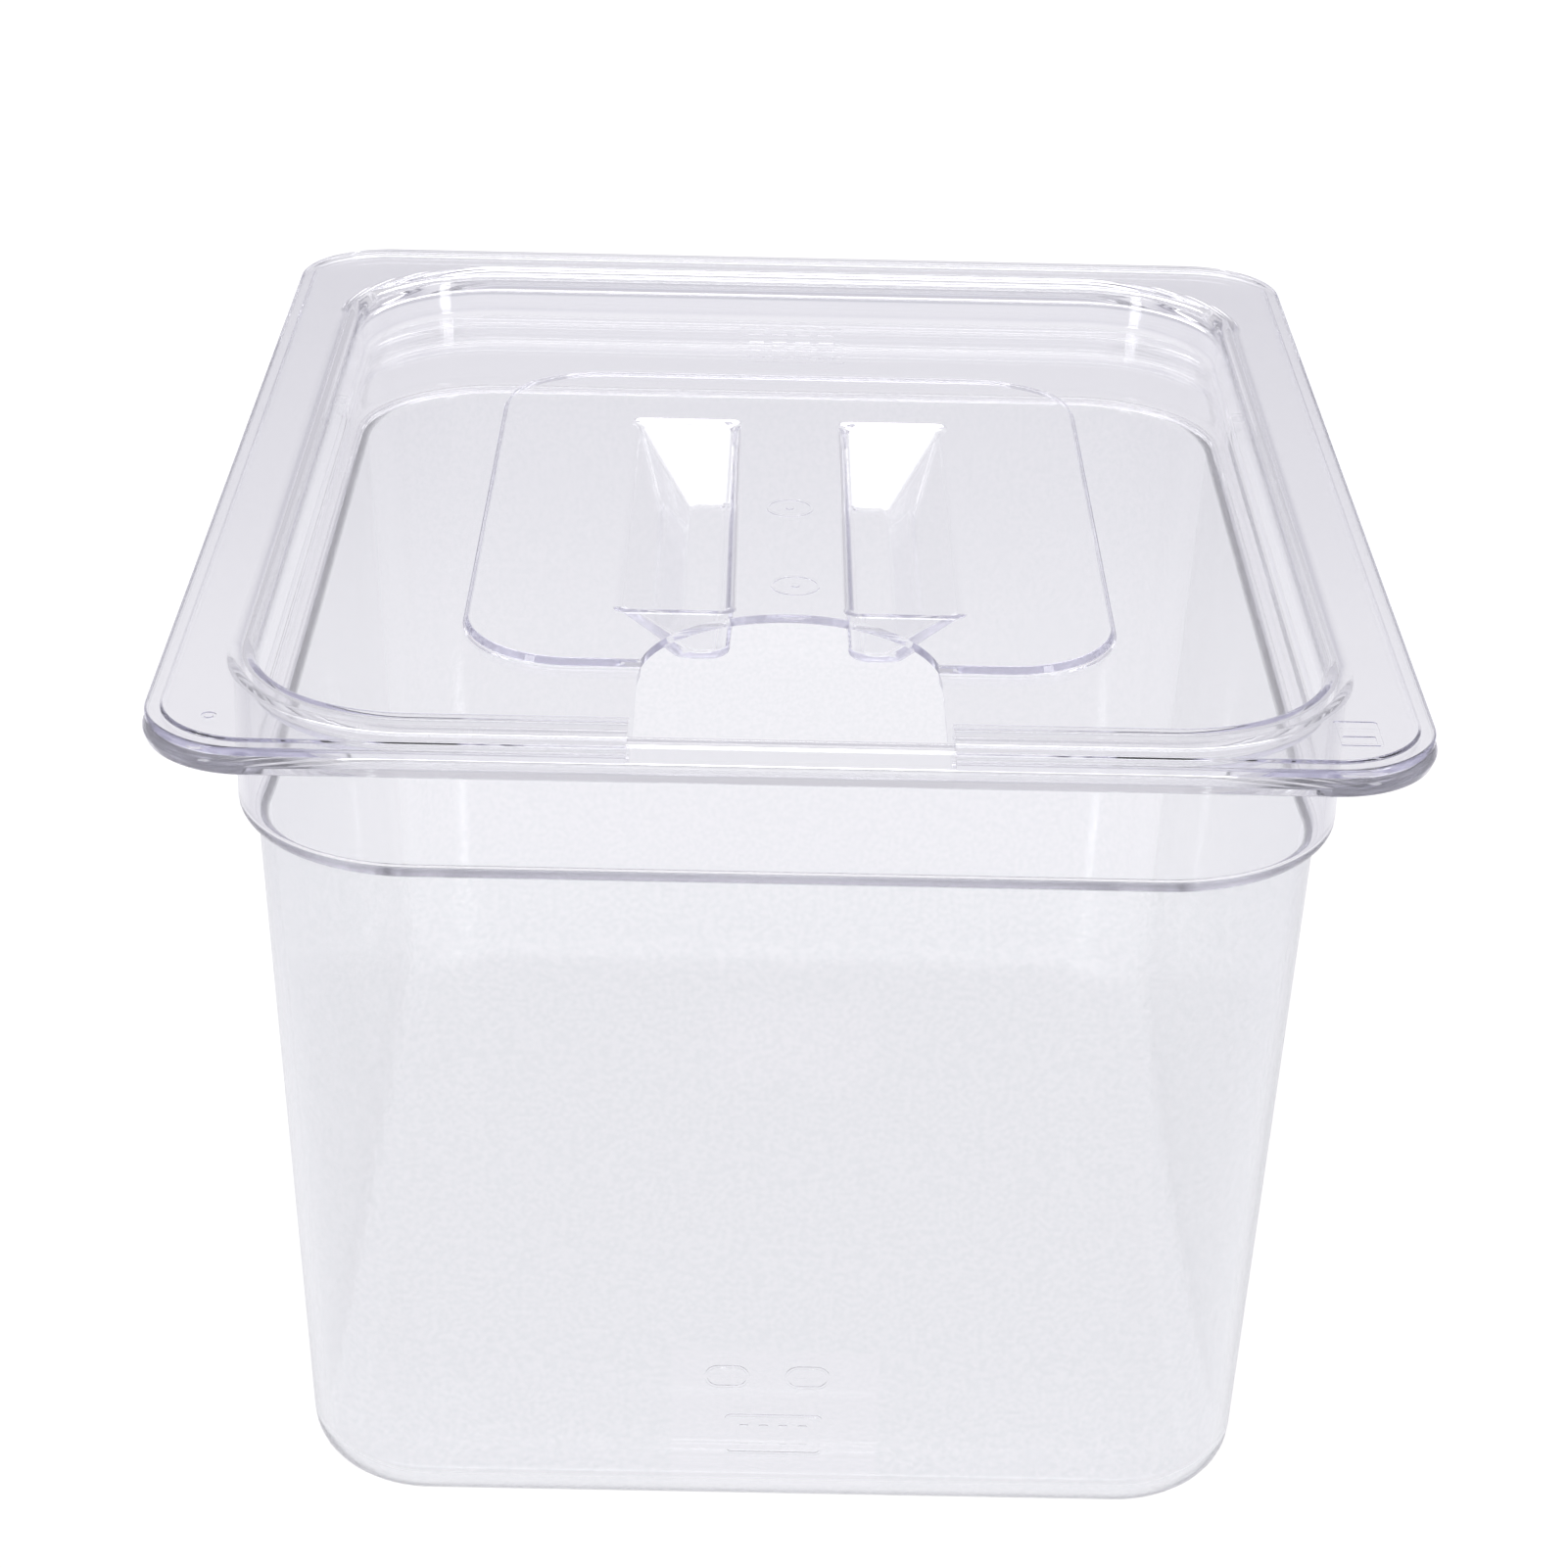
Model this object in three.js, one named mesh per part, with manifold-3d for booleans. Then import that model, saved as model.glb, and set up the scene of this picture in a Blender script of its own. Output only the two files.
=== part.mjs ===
// Half-size food pan with a notched, lift-off cover, both moulded in clear plastic.
// Millimetres, +Z up. The origin is at the bottom centre of the pan, and the cover's notch is at -Y.

import * as THREE from 'three';
import { mergeVertices } from 'three/addons/utils/BufferGeometryUtils.js';
import Module from 'manifold-3d';

const wasm = await Module();
wasm.setup();

// Pan: overall size, rim, stacking shoulder and tapered body.
const OUTER_WIDTH = 265;
const OUTER_LENGTH = 325;
const PAN_HEIGHT = 200;
const RIM_CORNER_RADIUS = 23;
const RIM_THICKNESS = 4;
const RIM_OVERHANG = 14.5;
const RIM_TOP_EDGE_RADIUS = 2;
const RIM_LOWER_EDGE_RADIUS = 0.8;
const RIM_ROOT_RADIUS = 1.5;
const WALL = 2.4;
const FLOOR_THICKNESS = 2.8;
const MOUTH_EDGE_RADIUS = 3.4;
const MOUTH_CORNER_RADIUS = 37.5;
const BAND_HEIGHT = 30.5;
const SHOULDER_STEP = 4;
const SHOULDER_RADIUS = 3.5;
const LEDGE_RADIUS = 1.2;
const BODY_TAPER = THREE.MathUtils.degToRad(2.75);
const BASE_RADIUS = 11;

// Cover: how it seats on the pan, its border, its sunken tray and the raised panel in the tray.
const SEAT_GAP = 0.3;
const PLUG_CLEARANCE = 0.8;
const COVER_INSET = 0.5;
const COVER_WALL = 2;
const BORDER_THICKNESS = 2.4;
const FLANGE_WIDTH = 3.6;
const FLANGE_DROP = 0.6;
const FLANGE_EDGE_RADIUS = 0.7;
const TRAY_DEPTH = 11.8;
const TRAY_DRAFT = 0.5;
const TRAY_LIP_RADIUS = 2.6;
const TRAY_FOOT_RADIUS = 1.2;
const PANEL_WIDTH = 143.2;
const PANEL_LENGTH = 186;
const PANEL_CORNER_RADIUS = 24;
const PANEL_RISE = 1.8;
const PANEL_STEP_WIDTH = 0.7;

// Cover: the notch for a ladle's handle, and the two finger wells that leave the grip between them.
const NOTCH_WIDTH = 66;
const NOTCH_DEPTH = 95.4;
const NOTCH_TO_WELL = 3.2;
const GRIP_WIDTH = 28.6;
const WELL_WIDTH = 24.1;
const WELL_LENGTH = 120.5;
const WELL_DEPTH = 11.4;
const WELL_CORNER_RADIUS = 3;
const WELL_DRAFT = 1;
const TROUGH_WIDTH = 8.7;
const TROUGH_BACK_RUN = 29.5;

// The plastic: both pieces are the same resin, and the pan's body has a frosted texture.
const PLASTIC_COLOUR = 0xe6e5ee;
const PLASTIC_OPACITY = 0.4;
const FROSTED_ROUGHNESS = 0.35;
const POLISHED_ROUGHNESS = 0.06;

// How finely curves are cut, and how far a cutter runs past what it cuts.
const CORNER_STEPS = 5;
const FILLET_STEPS = 2;
const CUTTER_MARGIN = 5;

const QUARTER = Math.PI / 2;

// Sizes that follow from the driving dimensions.
const outerHalf = OUTER_WIDTH / 2;
const lengthExtra = (OUTER_LENGTH - OUTER_WIDTH) / 2;
const bandHalf = outerHalf - RIM_OVERHANG;
const mouthHalf = bandHalf - WALL;
const bodyCentre = mouthHalf - MOUTH_CORNER_RADIUS;
const rimCentre = outerHalf - RIM_CORNER_RADIUS;
const rimUnderside = PAN_HEIGHT - RIM_THICKNESS;
const shoulderHeight = rimUnderside - BAND_HEIGHT;
const coverUnderside = PAN_HEIGHT + SEAT_GAP;
const borderTop = coverUnderside + BORDER_THICKNESS;
const trayFloor = borderTop - TRAY_DEPTH;
const panelTop = trayFloor + PANEL_RISE;
const plugHalf = mouthHalf - PLUG_CLEARANCE;
const coverHalf = outerHalf - COVER_INSET;
const notchEnd = -(coverHalf + lengthExtra) + NOTCH_DEPTH;

// A closed outline: a rectangle with round corners, about a centre.
function roundedRectangle(halfWidth, halfLength, radius, centreX = 0, centreY = 0) {
  const x = halfWidth - radius;
  const y = halfLength - radius;
  const shape = new THREE.Shape();
  shape.absarc(centreX + x, centreY + y, radius, 0, QUARTER);
  shape.absarc(centreX - x, centreY + y, radius, QUARTER, 2 * QUARTER);
  shape.absarc(centreX - x, centreY - y, radius, 2 * QUARTER, 3 * QUARTER);
  shape.absarc(centreX + x, centreY - y, radius, 3 * QUARTER, 4 * QUARTER);
  return shape.getPoints(CORNER_STEPS);
}

// Turns a section into rings: each of its points is a half width and a height. The corners of
// every ring share one centre, and the length is the width plus the same extra all the way.
function sweepSection(section, extra, cornerCentre) {
  return section.getPoints(FILLET_STEPS).map(({ x, y }) => ({
    points: roundedRectangle(x, x + extra, x - cornerCentre),
    z: y,
  }));
}

// Skins a stack of rings, and closes the first and the last of them with a flat cap.
function loft(rings) {
  const count = rings[0].points.length;
  const positions = rings.flatMap(({ points, z }) => points.flatMap(({ x, y }) => [x, y, z]));
  const cap = THREE.ShapeUtils.triangulateShape(rings[0].points, []);
  const index = cap.flatMap(([a, b, c]) => [a, c, b]);
  for (let ring = 0; ring < rings.length - 1; ring += 1) {
    for (let step = 0; step < count; step += 1) {
      const a = ring * count + step;
      const b = ring * count + ((step + 1) % count);
      index.push(a, b, b + count, a, b + count, a + count);
    }
  }
  const lastStart = (rings.length - 1) * count;
  const lastCap = THREE.ShapeUtils.triangulateShape(rings.at(-1).points, []);
  index.push(...lastCap.flat().map((corner) => corner + lastStart));
  const geometry = new THREE.BufferGeometry();
  geometry.setAttribute('position', new THREE.Float32BufferAttribute(positions, 3));
  geometry.setIndex(index);
  return geometry;
}

// A closed mesh with its shared vertices merged, as a solid that can be joined and cut.
function asSolid(geometry) {
  const bare = geometry.clone();
  bare.deleteAttribute('normal');
  bare.deleteAttribute('uv');
  const merged = mergeVertices(bare);
  return new wasm.Manifold(new wasm.Mesh({
    numProp: 3,
    vertProperties: new Float32Array(merged.getAttribute('position').array),
    triVerts: new Uint32Array(merged.getIndex().array),
  }));
}

function asGeometry(solid) {
  const mesh = solid.getMesh();
  const geometry = new THREE.BufferGeometry();
  geometry.setAttribute('position', new THREE.BufferAttribute(mesh.vertProperties, mesh.numProp));
  geometry.setIndex(new THREE.BufferAttribute(mesh.triVerts, 1));
  geometry.computeVertexNormals();
  return geometry;
}

// The clear plastic that both pieces are moulded in.
function clearPlastic(name, roughness) {
  return new THREE.MeshStandardMaterial({
    name,
    color: PLASTIC_COLOUR,
    roughness,
    metalness: 0,
    transparent: true,
    opacity: PLASTIC_OPACITY,
  });
}

// Up the outside of the tapered body from the base, round the shoulder and up the band.
function panOutside() {
  const taper = Math.tan(BODY_TAPER);
  const bodyTop = bandHalf - SHOULDER_STEP;
  const bodyFoot = bodyTop - shoulderHeight * taper;
  const baseCentre = bodyFoot + BASE_RADIUS * taper - BASE_RADIUS / Math.cos(BODY_TAPER);
  const shoulder = SHOULDER_RADIUS;
  const root = RIM_ROOT_RADIUS;
  const section = new THREE.Path();
  section.absarc(baseCentre, BASE_RADIUS, BASE_RADIUS, -QUARTER, -BODY_TAPER);
  section.lineTo(bodyTop, shoulderHeight);
  section.absarc(bandHalf - shoulder, shoulderHeight + shoulder, shoulder, -QUARTER, 0);
  section.absarc(bandHalf + root, rimUnderside - root, root, 2 * QUARTER, QUARTER, true);
  return sweepSection(section, lengthExtra, bodyCentre);
}

// Round the outer edge of the rim.
function panRimEdge() {
  const lower = RIM_LOWER_EDGE_RADIUS;
  const upper = RIM_TOP_EDGE_RADIUS;
  const section = new THREE.Path();
  section.absarc(outerHalf - lower, rimUnderside + lower, lower, -QUARTER, 0);
  section.absarc(outerHalf - upper, PAN_HEIGHT - upper, upper, 0, QUARTER);
  return sweepSection(section, lengthExtra, rimCentre);
}

// Down the inside: the mouth, the ledge at the shoulder, the tapered wall and the floor's fillet.
function panInside() {
  const taper = Math.tan(BODY_TAPER);
  const mouth = MOUTH_EDGE_RADIUS;
  const ledge = LEDGE_RADIUS;
  const ledgeHeight = shoulderHeight + WALL;
  const innerTop = bandHalf - SHOULDER_STEP - WALL;
  const innerRadius = BASE_RADIUS - WALL;
  const filletHeight = FLOOR_THICKNESS + innerRadius;
  const wallAtFillet = innerTop - (ledgeHeight - filletHeight) * taper;
  const filletCentre = wallAtFillet - innerRadius / Math.cos(BODY_TAPER);
  const section = new THREE.Path();
  section.absarc(mouthHalf + mouth, PAN_HEIGHT - mouth, mouth, QUARTER, 2 * QUARTER);
  section.absarc(mouthHalf - ledge, ledgeHeight + ledge, ledge, 0, -QUARTER, true);
  section.absarc(innerTop + ledge, ledgeHeight - ledge, ledge, QUARTER, 2 * QUARTER);
  section.absarc(filletCentre, filletHeight, innerRadius, -BODY_TAPER, -QUARTER, true);
  return sweepSection(section, lengthExtra, bodyCentre);
}

function makePan() {
  const geometry = loft([...panOutside(), ...panRimEdge(), ...panInside()]);
  const mesh = new THREE.Mesh(geometry, clearPlastic('frosted_clear_plastic', FROSTED_ROUGHNESS));
  mesh.name = 'pan';
  return mesh;
}

// One face of the raised panel: the edge of its flat top and the foot of the step round it.
function panelStep(topHeight, footHeight) {
  const half = PANEL_WIDTH / 2;
  const section = new THREE.Path();
  section.moveTo(half, topHeight);
  section.lineTo(half + PANEL_STEP_WIDTH, footHeight);
  return sweepSection(section, (PANEL_LENGTH - PANEL_WIDTH) / 2, half - PANEL_CORNER_RADIUS);
}

// Under the cover: the tray's underside, the plug that drops into the pan and the seat on the rim.
function plugUnderside() {
  const footRadius = TRAY_FOOT_RADIUS + COVER_WALL;
  const foot = plugHalf - TRAY_DRAFT;
  const root = RIM_ROOT_RADIUS;
  const section = new THREE.Path();
  section.absarc(foot - footRadius, trayFloor - COVER_WALL + footRadius, footRadius, -QUARTER, 0);
  section.absarc(plugHalf + root, coverUnderside - root, root, 2 * QUARTER, QUARTER, true);
  return sweepSection(section, lengthExtra, bodyCentre);
}

// Round the thin outer flange and up its step on to the border.
function coverFlange() {
  const flangeTop = borderTop - FLANGE_DROP;
  const edge = FLANGE_EDGE_RADIUS;
  const step = coverHalf - FLANGE_WIDTH;
  const section = new THREE.Path();
  section.moveTo(coverHalf, coverUnderside);
  section.absarc(coverHalf - edge, flangeTop - edge, edge, 0, QUARTER);
  section.lineTo(step + FLANGE_DROP, flangeTop);
  section.lineTo(step, borderTop);
  return sweepSection(section, lengthExtra, coverHalf - RIM_CORNER_RADIUS);
}

// From the border over the rounded lip and down the wall of the sunken tray.
function trayTop() {
  const wallTop = plugHalf - COVER_WALL;
  const lip = TRAY_LIP_RADIUS;
  const foot = TRAY_FOOT_RADIUS;
  const section = new THREE.Path();
  section.absarc(wallTop + lip, borderTop - lip, lip, QUARTER, 2 * QUARTER);
  section.absarc(wallTop - TRAY_DRAFT - foot, trayFloor + foot, foot, 0, -QUARTER, true);
  return sweepSection(section, lengthExtra, bodyCentre);
}

// A finger well, deepest along the grip. It slopes up to the outside and to the back.
// Grown by a wall it is the well's skin, and ungrown it is the pocket cut from it.
function fingerWell(side, grow, top) {
  const floor = panelTop - WELL_DEPTH - grow;
  const wellFront = notchEnd + NOTCH_TO_WELL;
  const gripHalf = GRIP_WIDTH / 2;
  const radius = WELL_CORNER_RADIUS + grow;
  const troughLength = WELL_LENGTH - TROUGH_BACK_RUN - WELL_DRAFT;
  const troughX = side * (gripHalf + WELL_DRAFT + TROUGH_WIDTH / 2);
  const troughY = wellFront + WELL_DRAFT + troughLength / 2;
  const mouthX = side * (gripHalf + WELL_WIDTH / 2);
  const mouthY = wellFront + WELL_LENGTH / 2;
  const halfTrough = [TROUGH_WIDTH / 2 + grow, troughLength / 2 + grow];
  const halfMouth = [WELL_WIDTH / 2 + grow, WELL_LENGTH / 2 + grow];
  const mouth = roundedRectangle(...halfMouth, radius, mouthX, mouthY);
  return asSolid(loft([
    { points: roundedRectangle(...halfTrough, radius, troughX, troughY), z: floor },
    { points: mouth, z: Math.min(panelTop, top) },
    ...(top > panelTop ? [{ points: mouth, z: top }] : []),
  ]));
}

// The slot in the front edge that ends in a half circle.
function notchCutter() {
  const half = NOTCH_WIDTH / 2;
  const front = -(coverHalf + lengthExtra) - CUTTER_MARGIN;
  const shape = new THREE.Shape();
  shape.moveTo(-half, front);
  shape.lineTo(half, front);
  shape.absarc(0, notchEnd - half, half, 0, 2 * QUARTER);
  const bottom = trayFloor - COVER_WALL - CUTTER_MARGIN;
  const depth = borderTop + CUTTER_MARGIN - bottom;
  const geometry = new THREE.ExtrudeGeometry(shape, {
    depth,
    bevelEnabled: false,
    curveSegments: 2 * CORNER_STEPS,
  });
  geometry.translate(0, 0, bottom);
  return asSolid(geometry);
}

function makeCover() {
  const below = [...panelStep(panelTop - COVER_WALL, trayFloor - COVER_WALL), ...plugUnderside()];
  const above = [...trayTop(), ...panelStep(panelTop, trayFloor).reverse()];
  let cover = asSolid(loft([...below, ...coverFlange(), ...above]));
  const skinTop = panelTop - COVER_WALL / 2;
  for (const side of [-1, 1]) {
    cover = cover.add(fingerWell(side, COVER_WALL, skinTop));
  }
  for (const side of [-1, 1]) {
    cover = cover.subtract(fingerWell(side, 0, borderTop + CUTTER_MARGIN));
  }
  cover = cover.subtract(notchCutter());
  const plastic = clearPlastic('polished_clear_plastic', POLISHED_ROUGHNESS);
  const mesh = new THREE.Mesh(asGeometry(cover), plastic);
  mesh.name = 'cover';
  return mesh;
}

const foodPan = new THREE.Group();
foodPan.add(makePan());
foodPan.add(makeCover());

export default foodPan;
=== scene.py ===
# A deep half-size food pan in clear plastic with its notched, lift-off cover.
# Lengths are in metres, on the frame's own axes: the pan stands on z = 0 and the notch is at -y.

import math

import bmesh
import bpy
from mathutils import Matrix, Vector


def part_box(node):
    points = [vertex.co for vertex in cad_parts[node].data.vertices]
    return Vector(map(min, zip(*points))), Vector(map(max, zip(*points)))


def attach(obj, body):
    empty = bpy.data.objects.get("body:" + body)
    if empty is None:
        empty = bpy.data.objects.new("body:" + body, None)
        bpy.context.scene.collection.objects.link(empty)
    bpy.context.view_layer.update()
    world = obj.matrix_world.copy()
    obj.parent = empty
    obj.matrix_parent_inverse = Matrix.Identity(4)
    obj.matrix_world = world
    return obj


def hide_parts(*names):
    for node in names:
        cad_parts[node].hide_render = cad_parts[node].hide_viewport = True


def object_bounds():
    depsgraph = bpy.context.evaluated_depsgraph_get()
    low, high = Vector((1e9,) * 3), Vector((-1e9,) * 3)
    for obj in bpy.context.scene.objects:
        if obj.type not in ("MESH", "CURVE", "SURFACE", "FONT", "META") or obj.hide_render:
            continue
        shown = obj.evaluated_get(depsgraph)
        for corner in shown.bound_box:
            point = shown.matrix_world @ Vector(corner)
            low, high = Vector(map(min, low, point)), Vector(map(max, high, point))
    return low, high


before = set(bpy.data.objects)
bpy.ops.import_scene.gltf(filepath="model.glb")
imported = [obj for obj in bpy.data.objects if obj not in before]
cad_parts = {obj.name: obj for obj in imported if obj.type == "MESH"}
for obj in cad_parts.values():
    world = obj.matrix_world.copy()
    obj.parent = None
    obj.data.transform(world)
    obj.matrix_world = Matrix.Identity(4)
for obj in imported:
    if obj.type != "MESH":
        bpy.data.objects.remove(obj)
cad_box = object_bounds()
scene = bpy.context.scene

# --- Camera ---------------------------------------------------------------------------------
# A long lens on a tripod, a little left of the middle, looking down over the notched end.

MM = 0.001
FOCAL_LENGTH = 87.27
SENSOR = 36.0
CAMERA_PLACE = Vector((-7.8, -845.9, 525.85)) * MM
LOOK_DOWN = math.radians(25.699)
LOOK_RIGHT = math.radians(0.543)
LEAN = math.radians(1.398)

camera_data = bpy.data.cameras.new("camera")
camera_data.lens = FOCAL_LENGTH
camera_data.sensor_width = SENSOR
camera = bpy.data.objects.new("camera", camera_data)
scene.collection.objects.link(camera)
aim = (
    Matrix.Rotation(-LOOK_RIGHT, 4, "Z")
    @ Matrix.Rotation(math.pi / 2 - LOOK_DOWN, 4, "X")
    @ Matrix.Rotation(LEAN, 4, "Z")
)
camera.matrix_world = Matrix.Translation(CAMERA_PLACE) @ aim
scene.camera = camera

# --- Shooting table and studio light --------------------------------------------------------
# A white table that glows a little itself, brightest under the pan, so that clear plastic on it
# stays light. The room is a soft grey tent, with a broad box overhead and a strip at each side.

EDGE_SOFTNESS = 0.3 * MM


class Sock:
    """A shader value. Its operators add Math nodes, and node() adds any other kind."""

    def __init__(self, tree, link):
        self.tree = tree
        self.link = link

    def node(self, kind, settings=None, inputs=None, output=0):
        made = self.tree.nodes.new(kind)
        for key, value in (settings or {}).items():
            setattr(made, key, value)
        for key, value in (inputs or {}).items():
            if isinstance(value, Sock):
                self.tree.links.new(value.link, made.inputs[key])
            else:
                made.inputs[key].default_value = value
        return Sock(self.tree, made.outputs[output])

    def math(self, operation, *values):
        return self.node("ShaderNodeMath", {"operation": operation}, dict(enumerate(values)))

    def __add__(self, other):
        return self.math("ADD", self, other)

    __radd__ = __add__

    def __sub__(self, other):
        return self.math("SUBTRACT", self, other)

    def __rsub__(self, other):
        return self.math("SUBTRACT", other, self)

    def __mul__(self, other):
        return self.math("MULTIPLY", self, other)

    __rmul__ = __mul__

    def __abs__(self):
        return self.math("ABSOLUTE", self)

    def step(self, low, high):
        """0 below low, 1 above high, and a smooth ramp between them."""
        settings = {"interpolation_type": "SMOOTHSTEP"}
        inputs = {"Value": self, "From Min": low, "From Max": high}
        return self.node("ShaderNodeMapRange", settings, inputs)

    def between(self, low, high):
        """1 from low to high, and 0 outside, with a narrow ramp at each end."""
        rise = self.step(low - EDGE_SOFTNESS, low + EDGE_SOFTNESS)
        return rise * (1 - self.step(high - EDGE_SOFTNESS, high + EDGE_SOFTNESS))

    def axes(self):
        split = self.tree.nodes.new("ShaderNodeSeparateXYZ")
        self.tree.links.new(self.link, split.inputs[0])
        return [Sock(self.tree, out) for out in split.outputs]

    def mix(self, low, high):
        """The colour low where this is 0, and high where it is 1."""
        inputs = {0: self, 6: low, 7: high}
        return self.node("ShaderNodeMix", {"data_type": "RGBA"}, inputs, output=2)

    def noise(self, scale):
        return self.node("ShaderNodeTexNoise", None, {"Vector": self, "Scale": scale})


def new_material(name):
    material = bpy.data.materials.new(name)
    material.use_nodes = True
    tree = material.node_tree
    return material, tree, tree.nodes["Principled BSDF"]


def coordinates(tree, kind="Object"):
    return Sock(tree, tree.nodes.new("ShaderNodeTexCoord").outputs[kind])


def feed(tree, value, target):
    tree.links.new(value.link, target)


def seen_directly(tree):
    """1 where the camera looks straight at a surface, and 0 where light reaches it by way of
    the plastic. The table and the tent are pure white in view, as on a cleaned-up studio shot."""
    return Sock(tree, tree.nodes.new("ShaderNodeLightPath").outputs["Is Camera Ray"])


PURE_WHITE = (1, 1, 1, 1)
TABLE_REACH = 9.0
TABLE_CELLS = 8
TABLE_DROP = 0.0004
TABLE_COLOUR = (0.05, 0.05, 0.05, 1)
TABLE_ROUGHNESS = 0.9
TABLE_GLOW = (0.865, 0.858, 0.895, 1)
FLOOR_GLOW = (0.52, 0.51, 0.58, 1)
LIT_HALF_WIDTH = 0.15
LIT_FAR_END = 0.17
SIDE_FADE = 0.45
FAR_FADE = 1.6

table_mesh = bpy.data.meshes.new("table")
bm = bmesh.new()
bmesh.ops.create_grid(bm, x_segments=TABLE_CELLS, y_segments=TABLE_CELLS, size=TABLE_REACH)
bm.to_mesh(table_mesh)
bm.free()
table = bpy.data.objects.new("table", table_mesh)
table.location.z = -TABLE_DROP
scene.collection.objects.link(table)

table_white, tree, shader = new_material("table_white")
shader.inputs["Base Color"].default_value = TABLE_COLOUR
shader.inputs["Roughness"].default_value = TABLE_ROUGHNESS
across, along, _ = coordinates(tree).axes()
aside = abs(across).step(LIT_HALF_WIDTH, LIT_HALF_WIDTH + SIDE_FADE)
behind = along.step(LIT_FAR_END, LIT_FAR_END + FAR_FADE)
glow = aside.math("MAXIMUM", aside, behind).mix(TABLE_GLOW, FLOOR_GLOW)
feed(tree, seen_directly(tree).mix(glow, PURE_WHITE), shader.inputs["Emission Color"])
shader.inputs["Emission Strength"].default_value = 1
table_mesh.materials.append(table_white)

TENT_LOW = (0.62, 0.61, 0.66, 1)
TENT_HIGH = (0.71, 0.70, 0.74, 1)
TENT_BEHIND_CAMERA = (0.62, 0.61, 0.66, 1)
TENT_JOIN = (0.36, 0.41)
BEHIND_CAMERA = (0.25, 0.6)
TENT_ROOF = (0.55, 0.8)

tent = bpy.data.worlds.new("tent")
tent.use_nodes = True
scene.world = tent
tree = tent.node_tree
_, along, height = coordinates(tree, "Generated").axes()
walls = height.step(*TENT_JOIN).mix(TENT_LOW, TENT_HIGH)
behind_camera = (-1 * along).step(*BEHIND_CAMERA) * (1 - height.step(*TENT_ROOF))
cloth = behind_camera.mix(walls, TENT_BEHIND_CAMERA)
feed(tree, seen_directly(tree).mix(cloth, PURE_WHITE), tree.nodes["Background"].inputs["Color"])


def softbox(name, place, size, power):
    """A rectangular soft light that faces the middle of the pan."""
    light = bpy.data.lights.new(name, "AREA")
    light.shape = "RECTANGLE"
    light.size, light.size_y = size
    light.energy = power
    lamp = bpy.data.objects.new(name, light)
    lamp.location = place
    target = Vector((0, 0, cad_box[1][2] / 2))
    lamp.rotation_euler = (target - lamp.location).to_track_quat("-Z", "Y").to_euler()
    scene.collection.objects.link(lamp)


OVERHEAD_PLACE = (0, 1.3, 1.9)
OVERHEAD_SIZE = (1.6, 0.8)
OVERHEAD_POWER = 11
STRIP_ASIDE = 1.5
STRIP_ALONG = -1.4
STRIP_HEIGHT = 0.9
STRIP_SIZE = (0.35, 1.1)
STRIP_POWER = 5

softbox("box_overhead", OVERHEAD_PLACE, OVERHEAD_SIZE, OVERHEAD_POWER)
for name, side in (("box_left", -1), ("box_right", 1)):
    softbox(name, (side * STRIP_ASIDE, STRIP_ALONG, STRIP_HEIGHT), STRIP_SIZE, STRIP_POWER)

# Light runs a long way inside clear plastic, so the renderer follows it through many bounces.
LIGHT_BOUNCES = 112
BRIGHTEST_SPARK = 6
scene.view_settings.view_transform = "Standard"
scene.cycles.max_bounces = LIGHT_BOUNCES
scene.cycles.transmission_bounces = LIGHT_BOUNCES
scene.cycles.glossy_bounces = LIGHT_BOUNCES
scene.cycles.sample_clamp_indirect = BRIGHTEST_SPARK

# --- Pan ------------------------------------------------------------------------------------
# One injection moulding in clear polycarbonate: a flat rim, a polished band, a stacking shoulder,
# and a tapered body that the tool's etched cavity leaves finely frosted outside.

pan_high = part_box("pan")[1]
outer_half = pan_high[0]
length_extra = pan_high[1] - outer_half
rim_top = pan_high[2]

RIM_CORNER = 23 * MM
RIM_THICKNESS = 4 * MM
RIM_OVERHANG = 14.5 * MM
RIM_TOP_EDGE = 2 * MM
RIM_LOWER_EDGE = 0.8 * MM
RIM_DRAFT = 0.5 * MM
RIM_DRAFT_START = -0.3
RIM_ROOT = 1.5 * MM
WALL = 2.4 * MM
FLOOR = 2.8 * MM
MOUTH_EDGE = 3.4 * MM
MOUTH_CORNER = 37.5 * MM
BAND_HEIGHT = 30.5 * MM
SHOULDER_STEP = 4 * MM
SHOULDER = 3.5 * MM
LEDGE_FOOT = 1.5 * MM
LEDGE_EDGE = 3 * MM
TAPER = math.radians(2.75)
BASE = 11 * MM
CORNER_STEPS = 18
FILLET_STEPS = 7
QUARTER = math.pi / 2
SAME_POINT = 0.001 * MM


def arc(x, z, radius, start, end, steps=FILLET_STEPS):
    """The points of a round stretch of a section, as half widths and heights."""
    angles = [start + (end - start) * i / steps for i in range(steps + 1)]
    return [(x + radius * math.cos(a), z + radius * math.sin(a)) for a in angles]


def rounded_rectangle(half_x, half_y, radius, z, centre=(0, 0)):
    """A level ring of points, with round corners."""
    ring = []
    for quarter, (sx, sy) in enumerate([(1, 1), (-1, 1), (-1, -1), (1, -1)]):
        middle = (centre[0] + sx * (half_x - radius), centre[1] + sy * (half_y - radius))
        turn = arc(*middle, radius, quarter * QUARTER, (quarter + 1) * QUARTER, CORNER_STEPS)
        ring += [(x, y, z) for x, y in turn]
    return ring


def sweep(section, extra, corner_centre):
    """Rings for a section. Their corners share one centre, and extra lengthens each half."""
    return [rounded_rectangle(x, x + extra, x - corner_centre, z) for x, z in section]


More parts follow.
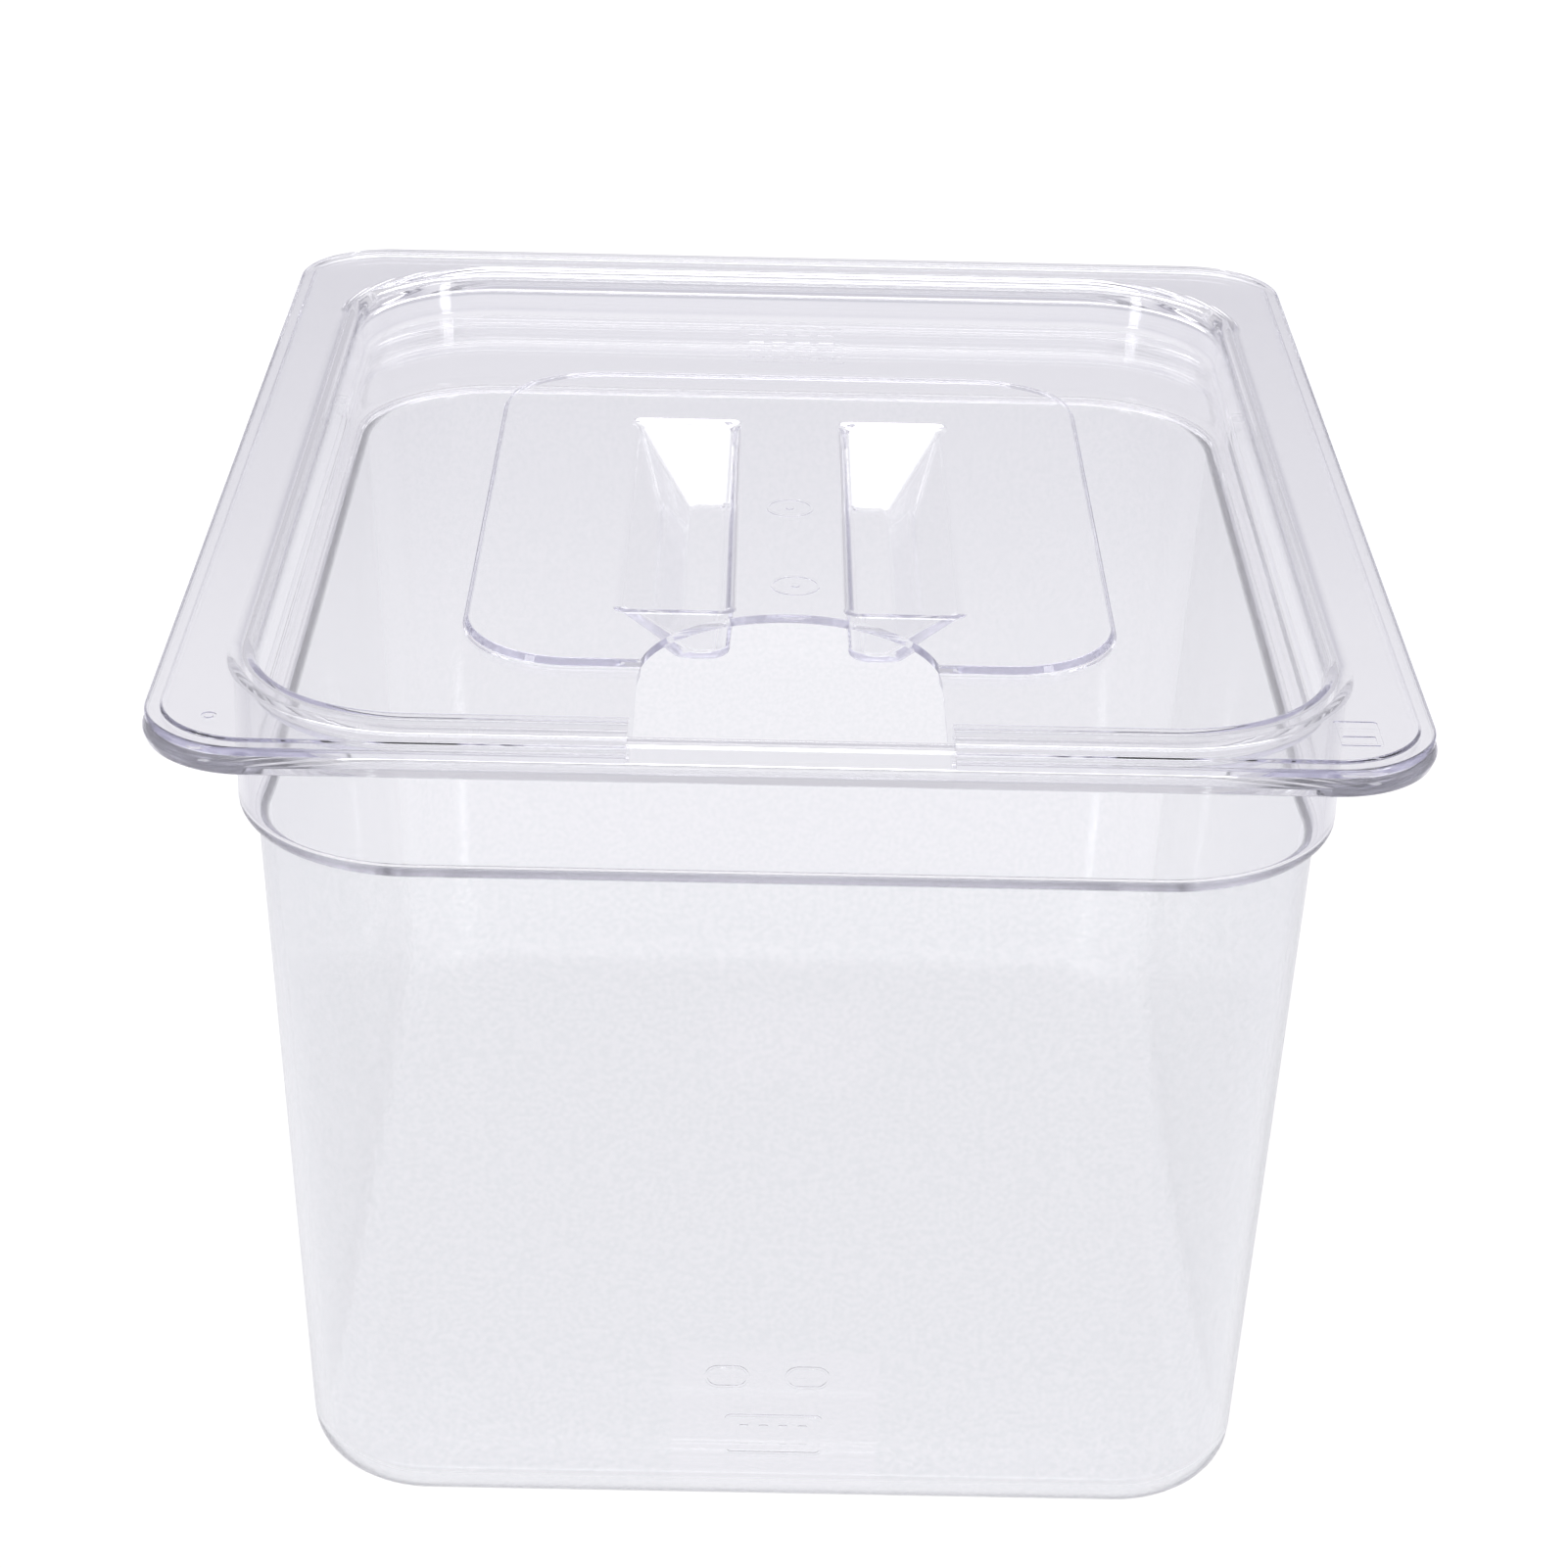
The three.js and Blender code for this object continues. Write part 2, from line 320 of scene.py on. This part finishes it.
def add_skin(bm, rings, closed=False):
    """Faces between the rings of a stack. Returns the vertices of each ring."""
    rows = [[bm.verts.new(point) for point in ring] for ring in rings]
    for low, high in zip(rows, rows[1:] + rows[:1] if closed else rows[1:]):
        for i in range(len(low)):
            j = (i + 1) % len(low)
            bm.faces.new((low[i], low[j], high[j], high[i]))
    return rows


def add_loft(bm, rings):
    """A closed skin over a stack of rings, with a flat cap on the first and on the last."""
    rows = add_skin(bm, rings)
    bm.faces.new(reversed(rows[0]))
    bm.faces.new(rows[-1])


def as_object(name, bm):
    """A mesh object from a bmesh, with smooth shading. Points that meet become one."""
    bmesh.ops.remove_doubles(bm, verts=bm.verts, dist=SAME_POINT)
    for face in bm.faces:
        face.smooth = True
    mesh = bpy.data.meshes.new(name)
    bm.to_mesh(mesh)
    bm.free()
    made = bpy.data.objects.new(name, mesh)
    scene.collection.objects.link(made)
    return made


def cut(piece, tool, operation):
    """Joins or cuts a piece with a tool, and clears the tool away."""
    modifier = piece.modifiers.new("cut", "BOOLEAN")
    modifier.operation = operation
    modifier.solver = "EXACT"
    modifier.object = tool
    with bpy.context.temp_override(object=piece, active_object=piece):
        bpy.ops.object.modifier_apply(modifier=modifier.name)
    bpy.data.objects.remove(tool)


band_half = outer_half - RIM_OVERHANG
mouth_half = band_half - WALL
corner_centre = mouth_half - MOUTH_CORNER
rim_underside = rim_top - RIM_THICKNESS
shoulder_z = rim_underside - BAND_HEIGHT
lean = math.tan(TAPER)
body_top = band_half - SHOULDER_STEP
body_foot = body_top - shoulder_z * lean
base_centre = body_foot + BASE * lean - BASE / math.cos(TAPER)
ledge_z = shoulder_z + WALL
inner_top = body_top - WALL
inner_base = BASE - WALL
inner_fillet_z = FLOOR + inner_base
inner_centre = inner_top - (ledge_z - inner_fillet_z) * lean - inner_base / math.cos(TAPER)

body_outside = arc(base_centre, BASE, BASE, -QUARTER, -TAPER) + [(body_top, shoulder_z)]
band_outside = arc(band_half - SHOULDER, shoulder_z + SHOULDER, SHOULDER, -QUARTER, 0)
band_outside += arc(band_half + RIM_ROOT, rim_underside - RIM_ROOT, RIM_ROOT, 2 * QUARTER, QUARTER)
rim_foot = outer_half - RIM_DRAFT - RIM_LOWER_EDGE
rim_edge = arc(rim_foot, rim_underside + RIM_LOWER_EDGE, RIM_LOWER_EDGE, -QUARTER, RIM_DRAFT_START)
rim_edge += arc(outer_half - RIM_TOP_EDGE, rim_top - RIM_TOP_EDGE, RIM_TOP_EDGE, 0, QUARTER)
inside = arc(mouth_half + MOUTH_EDGE, rim_top - MOUTH_EDGE, MOUTH_EDGE, QUARTER, 2 * QUARTER)
inside += arc(mouth_half - LEDGE_FOOT, ledge_z + LEDGE_FOOT, LEDGE_FOOT, 0, -QUARTER)
inside += arc(inner_top + LEDGE_EDGE, ledge_z - LEDGE_EDGE, LEDGE_EDGE, QUARTER, 2 * QUARTER)
inside += arc(inner_centre, inner_fillet_z, inner_base, -TAPER, -QUARTER)

pan_rings = sweep(body_outside + band_outside, length_extra, corner_centre)
pan_rings += sweep(rim_edge, length_extra, outer_half - RIM_CORNER)
pan_rings += sweep(inside, length_extra, corner_centre)
bm = bmesh.new()
add_loft(bm, pan_rings)
etched_faces = (len(body_outside) - 1) * len(pan_rings[0])
underside = len(bm.faces) - 2
etched = bm.faces.layers.float.new("etched")
for i, face in enumerate(bm.faces):
    face[etched] = float(i < etched_faces or i == underside)
pan = as_object("pan_moulding", bm)

MARK_HEIGHT = 0.2 * MM
MARK_ROOT = 0.15 * MM
MARK_LINE = 0.6 * MM
GLYPH_HALF = (5 * MM, 3 * MM)
GLYPH_HEIGHT = 38 * MM
GLYPH_PLACES = (-10.6 * MM, 7.4 * MM)
BADGE_HALF = (11 * MM, 5.5 * MM)
BADGE_HEIGHT = 22 * MM
BADGE_CORNER = 1.5 * MM
BADGE_BAR_HALF = (1 * MM, 2.6 * MM)
BADGE_BARS = 4
BADGE_PITCH = 4.4 * MM


def add_bar(bm, centre, half, base, radius=MARK_LINE / 2):
    """A low bar with round corners that stands up from the level base."""
    levels = (base - MARK_ROOT, base + MARK_HEIGHT)
    add_loft(bm, [rounded_rectangle(*half, radius, z, centre) for z in levels])


def add_frame(bm, centre, half, base, radius):
    """A low frame around a rounded rectangle, one mark line wide."""
    low, high = base - MARK_ROOT, base + MARK_HEIGHT
    inner = [side - MARK_LINE for side in half]
    rings = [rounded_rectangle(*half, radius, z, centre) for z in (low, high)]
    rings += [rounded_rectangle(*inner, radius - MARK_LINE, z, centre) for z in (high, low)]
    add_skin(bm, rings, closed=True)


# The care symbols and the badge of the real pan are plain frames and bars here.
wall_marks = bmesh.new()
for x in GLYPH_PLACES:
    add_frame(wall_marks, (x, GLYPH_HEIGHT), GLYPH_HALF, 0, GLYPH_HALF[1])
add_frame(wall_marks, (0, BADGE_HEIGHT), BADGE_HALF, 0, BADGE_CORNER)
for i in range(BADGE_BARS):
    x = (i - (BADGE_BARS - 1) / 2) * BADGE_PITCH
    add_bar(wall_marks, (x, BADGE_HEIGHT), BADGE_BAR_HALF, 0)
wall_foot = Matrix.Translation((0, -(body_foot + length_extra), 0))
wall_marks.transform(wall_foot @ Matrix.Rotation(QUARTER + TAPER, 4, "X"))
cut(pan, as_object("wall_marks", wall_marks), "UNION")
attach(pan, "pan")
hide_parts("pan")


FLAT_WEIGHT = 100
PAN_SHARP_ANGLE = math.radians(40)


def true_flats(piece, sharp_angle):
    """Keeps the flats flat where they run into a fillet, and leaves cut edges sharp."""
    piece.data.set_sharp_from_angle(angle=sharp_angle)
    modifier = piece.modifiers.new("true_flats", "WEIGHTED_NORMAL")
    modifier.keep_sharp = True
    modifier.weight = FLAT_WEIGHT


true_flats(pan, PAN_SHARP_ANGLE)

POLYCARBONATE_IOR = 1.585
RESIN_TINT = (0.985, 0.985, 0.99, 1)
RUBBED_SCALE = 35
RUBBED_PATCHES = (0.55, 0.85)
RUBBED_ROUGHNESS = 0.05
POLISH = 0.015
RESIN_DEPTH_COLOUR = (0.42, 0.40, 0.66, 1)


def polycarbonate(name, density, finish, relief_depth):
    """Clear resin. From the place on the piece, its finish works out a relief and what varies."""
    material, tree, shader = new_material(name)
    place = coordinates(tree)
    shader.inputs["Base Color"].default_value = RESIN_TINT
    shader.inputs["IOR"].default_value = POLYCARBONATE_IOR
    shader.inputs["Transmission Weight"].default_value = 1
    relief, varied = finish(place)
    for key, value in varied.items():
        feed(tree, value, shader.inputs[key])
    bump = {"Height": relief, "Distance": relief_depth, "Strength": 1}
    feed(tree, place.node("ShaderNodeBump", None, bump), shader.inputs["Normal"])
    depth = {"Color": RESIN_DEPTH_COLOUR, "Density": density}
    absorb = place.node("ShaderNodeVolumeAbsorption", None, depth)
    feed(tree, absorb, tree.nodes["Material Output"].inputs["Volume"])
    return material


def gloss(place):
    """The roughness of a polished face, with faint rubbed patches."""
    return POLISH + RUBBED_ROUGHNESS * place.noise(RUBBED_SCALE).step(*RUBBED_PATCHES)


WALL_WINDOW = (-23 * MM, 23.5 * MM, 7 * MM, 45 * MM)
FLOOR_WINDOW = (-18 * MM, 28 * MM, 57 * MM, 101 * MM)


def frost(place):
    """1 where the tool was etched, and 0 on polished faces and in the two polished windows."""
    etched_here = place.node("ShaderNodeAttribute", {"attribute_name": "etched"}, output="Fac")
    x, y, z = place.axes()
    left, right, low, high = WALL_WINDOW
    front = 1 - y.step(-EDGE_SOFTNESS, EDGE_SOFTNESS)
    wall_window = front * x.between(left, right) * z.between(low, high)
    left, right, near, far = FLOOR_WINDOW
    under = 1 - z.step(FLOOR, FLOOR + EDGE_SOFTNESS)
    floor_window = under * x.between(left, right) * y.between(near, far)
    return etched_here * (1 - wall_window) * (1 - floor_window)


PAN_DENSITY = 0.7
FROST_ROUGHNESS = 0.07
FROST_GRAIN = 0.08
GRAIN_FINE = 1300
GRAIN_COARSE = 420
GRAIN_SPECKLE = 800
SPECKLE_RANGE = (0.35, 0.65)
GRAIN_PALE = (0.995, 1, 1, 1)
GRAIN_DARK = (0.925, 0.945, 0.945, 1)
FROST_DEPTH = 0.007 * MM


def frosted_finish(place):
    """Fine pits and a greener grain where the tool was etched, and plain gloss everywhere else."""
    etched_here = frost(place)
    grain = place.noise(GRAIN_SPECKLE).step(*SPECKLE_RANGE).mix(GRAIN_PALE, GRAIN_DARK)
    fine = place.noise(GRAIN_FINE)
    rough = FROST_ROUGHNESS + FROST_GRAIN * fine
    relief = etched_here * (fine + place.noise(GRAIN_COARSE))
    return relief, {
        "Base Color": etched_here.mix(RESIN_TINT, grain),
        "Roughness": etched_here * rough + (1 - etched_here) * gloss(place),
    }


pan_plastic = polycarbonate("frosted_polycarbonate", PAN_DENSITY, frosted_finish, FROST_DEPTH)
pan.data.materials.append(pan_plastic)

# --- Cover ----------------------------------------------------------------------------------
# A second moulding in the same resin, polished on both sides: a border that sits on the rim, a
# sunken tray that drops into the mouth, a raised panel, and the grip between two finger wells.

cover_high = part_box("cover")[1]
cover_half = cover_high[0]
border_top = cover_high[2]
BORDER_THICKNESS = 2.4 * MM
PLUG_CLEARANCE = 0.8 * MM
COVER_WALL = 2 * MM
FLANGE_WIDTH = 3.6 * MM
FLANGE_DROP = 0.6 * MM
FLANGE_EDGE = 0.7 * MM
STEP_EDGE = 0.2 * MM
TRAY_DEPTH = 11.8 * MM
TRAY_DRAFT = 0.5 * MM
TRAY_LIP = 2.6 * MM
TRAY_FOOT = 1.2 * MM
PANEL_HALF_WIDTH = 71.6 * MM
PANEL_HALF_LENGTH = 93 * MM
PANEL_CORNER = 24 * MM
PANEL_RISE = 1.8 * MM
PANEL_STEP = 0.7 * MM
PANEL_STEP_LEAN = 0.2
PANEL_EDGE = 0.35 * MM
EDGE_STEPS = 3

cover_underside = border_top - BORDER_THICKNESS
tray_floor = border_top - TRAY_DEPTH
panel_top = tray_floor + PANEL_RISE
plug_half = mouth_half - PLUG_CLEARANCE
foot_outer = TRAY_FOOT + COVER_WALL
flange_top = border_top - FLANGE_DROP
flange_step = cover_half - FLANGE_WIDTH
tray_half = plug_half - COVER_WALL


def panel_edge(top, foot):
    """The rounded step from the panel's flat top down to the tray's floor."""
    edge = PANEL_EDGE
    lean = PANEL_STEP_LEAN
    section = arc(PANEL_HALF_WIDTH - edge, top - edge, edge, QUARTER, lean, EDGE_STEPS)
    bottom = PANEL_HALF_WIDTH + PANEL_STEP + edge
    section += arc(bottom, foot + edge, edge, 2 * QUARTER + lean, 3 * QUARTER, EDGE_STEPS)
    extra = PANEL_HALF_LENGTH - PANEL_HALF_WIDTH
    return sweep(section, extra, PANEL_HALF_WIDTH - PANEL_CORNER)


plug_foot = (plug_half - TRAY_DRAFT - foot_outer, tray_floor - COVER_WALL + foot_outer)
plug = arc(*plug_foot, foot_outer, -QUARTER, 0)
plug += arc(plug_half + RIM_ROOT, cover_underside - RIM_ROOT, RIM_ROOT, 2 * QUARTER, QUARTER)
flange = [(cover_half - STEP_EDGE, cover_underside), (cover_half, cover_underside + STEP_EDGE)]
flange += arc(cover_half - FLANGE_EDGE, flange_top - FLANGE_EDGE, FLANGE_EDGE, 0, QUARTER, 4)
step_foot = (flange_step + FLANGE_DROP, flange_top + STEP_EDGE)
flange += arc(*step_foot, STEP_EDGE, 3 * QUARTER, 2 * QUARTER, 2)
flange += arc(flange_step - STEP_EDGE, border_top - STEP_EDGE, STEP_EDGE, 0, QUARTER, EDGE_STEPS)
tray = arc(tray_half + TRAY_LIP, border_top - TRAY_LIP, TRAY_LIP, QUARTER, 2 * QUARTER)
tray += arc(tray_half - TRAY_DRAFT - TRAY_FOOT, tray_floor + TRAY_FOOT, TRAY_FOOT, 0, -QUARTER)

cover_rings = panel_edge(panel_top - COVER_WALL, tray_floor - COVER_WALL)
cover_rings += sweep(plug, length_extra, corner_centre)
cover_rings += sweep(flange, length_extra, cover_half - RIM_CORNER)
cover_rings += sweep(tray, length_extra, corner_centre)
cover_rings += panel_edge(panel_top, tray_floor)[::-1]

NOTCH_HALF = 33 * MM
NOTCH_END = -66.6 * MM
NOTCH_TO_WELL = 3.2 * MM
GRIP_HALF = 14.3 * MM
WELL_WIDTH = 24.1 * MM
WELL_LENGTH = 120.5 * MM
WELL_DEPTH = 11.4 * MM
WELL_DRAFT = 1 * MM
TROUGH_WIDTH = 8.7 * MM
TROUGH_BACK_RUN = 29.5 * MM
WELL_CORNER = 3 * MM
WELL_FOOT = 1.5 * MM
GRIP_EDGE = 2.6 * MM
FINGER_EDGE = 4.5 * MM
WELL_FOOT_STEPS = 4
WELL_EDGE_STEPS = 8
NOTCH_STEPS = 40
CUTTER_MARGIN = 5 * MM

trough_floor = panel_top - WELL_DEPTH
well_front = NOTCH_END + NOTCH_TO_WELL


def well_wall(low, high, edge, wall):
    """One side of a well, from the trough's floor up its slope and over the edge on to the panel.
    It is level distances and heights, and a wall moves both arcs out square to the surface."""
    slope = math.atan2(high - low, WELL_DEPTH)
    reach = math.tan((QUARTER - slope) / 2)
    foot = (low - WELL_FOOT * reach, trough_floor + WELL_FOOT)
    lip = (high + edge * reach, panel_top - edge)
    section = arc(*foot, WELL_FOOT + wall, -QUARTER, -slope, WELL_FOOT_STEPS)
    return section + arc(*lip, edge - wall, 2 * QUARTER - slope, QUARTER, WELL_EDGE_STEPS)


def well_rings(side, wall):
    """The rings of a finger well. It is deepest by the grip, and slopes up outside and at the back."""
    trough = (GRIP_HALF + WELL_DRAFT, well_front + WELL_DRAFT)
    trough_far = (trough[0] + TROUGH_WIDTH, well_front + WELL_LENGTH - TROUGH_BACK_RUN)
    mouth_far = (GRIP_HALF + WELL_WIDTH, well_front + WELL_LENGTH)
    grip = well_wall(-trough[0], -GRIP_HALF, GRIP_EDGE, wall)
    front = well_wall(-trough[1], -well_front, GRIP_EDGE, wall)
    outside = well_wall(trough_far[0], mouth_far[0], FINGER_EDGE, wall)
    back = well_wall(trough_far[1], mouth_far[1], FINGER_EDGE, wall)
    rings = []
    for k in range(len(grip)):
        walls_x = {1: outside[k], -1: grip[k]}
        walls_y = {1: back[k], -1: front[k]}
        ring = []
        for quarter, (sx, sy) in enumerate([(1, 1), (-1, 1), (-1, -1), (1, -1)]):
            (reach_x, z_x), (reach_y, z_y) = walls_x[sx], walls_y[sy]
            centre = (sx * (reach_x - WELL_CORNER), sy * (reach_y - WELL_CORNER))
            start = quarter * QUARTER
            for angle in (start + QUARTER * i / CORNER_STEPS for i in range(CORNER_STEPS + 1)):
                share = math.cos(angle) ** 2
                x = centre[0] + WELL_CORNER * math.cos(angle)
                y = centre[1] + WELL_CORNER * math.sin(angle)
                ring.append((side * x, y, z_x * share + z_y * (1 - share)))
        rings.append(ring)
    return rings


def cover_skin():
    """The cover's whole skin, with the two wells let into its panel above and below."""
    bm = bmesh.new()
    rows = add_skin(bm, cover_rings)
    for panel, wall in ((rows[0], COVER_WALL), (rows[-1], 0)):
        borders = [panel]
        for side in (-1, 1):
            well = add_skin(bm, well_rings(side, wall))
            bm.faces.new(well[0])
            borders.append(well[-1])
        edges = [bm.edges.get(pair) for row in borders for pair in zip(row, row[1:] + row[:1])]
        bmesh.ops.triangle_fill(bm, edges=edges, use_beauty=True)
    bmesh.ops.recalc_face_normals(bm, faces=bm.faces)
    return bm


def notch_cutter():
    """The slot in the front edge, which ends in a half circle."""
    front = -(cover_half + length_extra) - CUTTER_MARGIN
    outline = [(-NOTCH_HALF, front), (NOTCH_HALF, front)]
    outline += arc(0, NOTCH_END - NOTCH_HALF, NOTCH_HALF, 0, 2 * QUARTER, NOTCH_STEPS)
    low, high = tray_floor - WELL_DEPTH - CUTTER_MARGIN, border_top + CUTTER_MARGIN
    bm = bmesh.new()
    add_loft(bm, [[(x, y, z) for x, y in outline] for z in (low, high)])
    return bm


GATE_RADIUS = 5.6 * MM
GATE_PLACES = ((0, -2.3 * MM), (1.2 * MM, -49.9 * MM))
GATE_PIP = 1 * MM
LABEL_CENTRE = (0.4 * MM, 120.5 * MM)
LABEL_HALF = (14 * MM, 14 * MM)
LABEL_CORNER = 1 * MM
LABEL_ROWS = 4
LABEL_DASHES = 4
DASH_HALF = (2.2 * MM, 1.1 * MM)
DASH_PITCH = (6.2 * MM, 6.2 * MM)
SIZE_MARK_CENTRE = (115.2 * MM, -145.5 * MM)
SIZE_MARK_HALF = (4.6 * MM, 6 * MM)
SIZE_MARK_CORNER = 0.9 * MM
CAVITY_MARK_CENTRE = (-117.8 * MM, -147.7 * MM)
CAVITY_MARK_HALF = 1.6 * MM


def raised_marks():
    """The two round gate marks on the grip, and a label frame with rows of plain dashes."""
    bm = bmesh.new()
    for place in GATE_PLACES:
        add_frame(bm, place, (GATE_RADIUS, GATE_RADIUS), panel_top, GATE_RADIUS)
        add_bar(bm, place, (GATE_PIP, GATE_PIP), panel_top, GATE_PIP)
    add_frame(bm, LABEL_CENTRE, LABEL_HALF, tray_floor, LABEL_CORNER)
    for i in range(LABEL_DASHES):
        for j in range(LABEL_ROWS):
            x = LABEL_CENTRE[0] + (i - (LABEL_DASHES - 1) / 2) * DASH_PITCH[0]
            y = LABEL_CENTRE[1] + (j - (LABEL_ROWS - 1) / 2) * DASH_PITCH[1]
            add_bar(bm, (x, y), DASH_HALF, tray_floor)
    return bm


def sunken_marks():
    """A half-filled rectangle for the half size, and a small cavity mark, both in the border."""
    bm = bmesh.new()
    sunk = border_top - (MARK_HEIGHT - MARK_ROOT)
    add_frame(bm, SIZE_MARK_CENTRE, SIZE_MARK_HALF, sunk, SIZE_MARK_CORNER)
    half_filled = (SIZE_MARK_HALF[0] - 2 * MARK_LINE, SIZE_MARK_HALF[1] / 2 - 2 * MARK_LINE)
    filled_centre = (SIZE_MARK_CENTRE[0], SIZE_MARK_CENTRE[1] - SIZE_MARK_HALF[1] / 2)
    add_bar(bm, filled_centre, half_filled, sunk)
    add_frame(bm, CAVITY_MARK_CENTRE, (CAVITY_MARK_HALF,) * 2, sunk, CAVITY_MARK_HALF)
    return bm


cover = as_object("cover_moulding", cover_skin())
cut(cover, as_object("notch", notch_cutter()), "DIFFERENCE")
cut(cover, as_object("raised_marks", raised_marks()), "UNION")
cut(cover, as_object("sunken_marks", sunken_marks()), "DIFFERENCE")

COVER_SHARP_ANGLE = math.radians(38)
COVER_DENSITY = 2.4
RIPPLE_SCALE = 22
RIPPLE_DEPTH = 0.04 * MM


def polished_finish(place):
    """Gloss with a long, very shallow ripple."""
    return place.noise(RIPPLE_SCALE), {"Roughness": gloss(place)}


true_flats(cover, COVER_SHARP_ANGLE)
cover_plastic = polycarbonate("polished_polycarbonate", COVER_DENSITY, polished_finish, RIPPLE_DEPTH)
cover.data.materials.append(cover_plastic)
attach(cover, "cover")
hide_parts("cover")
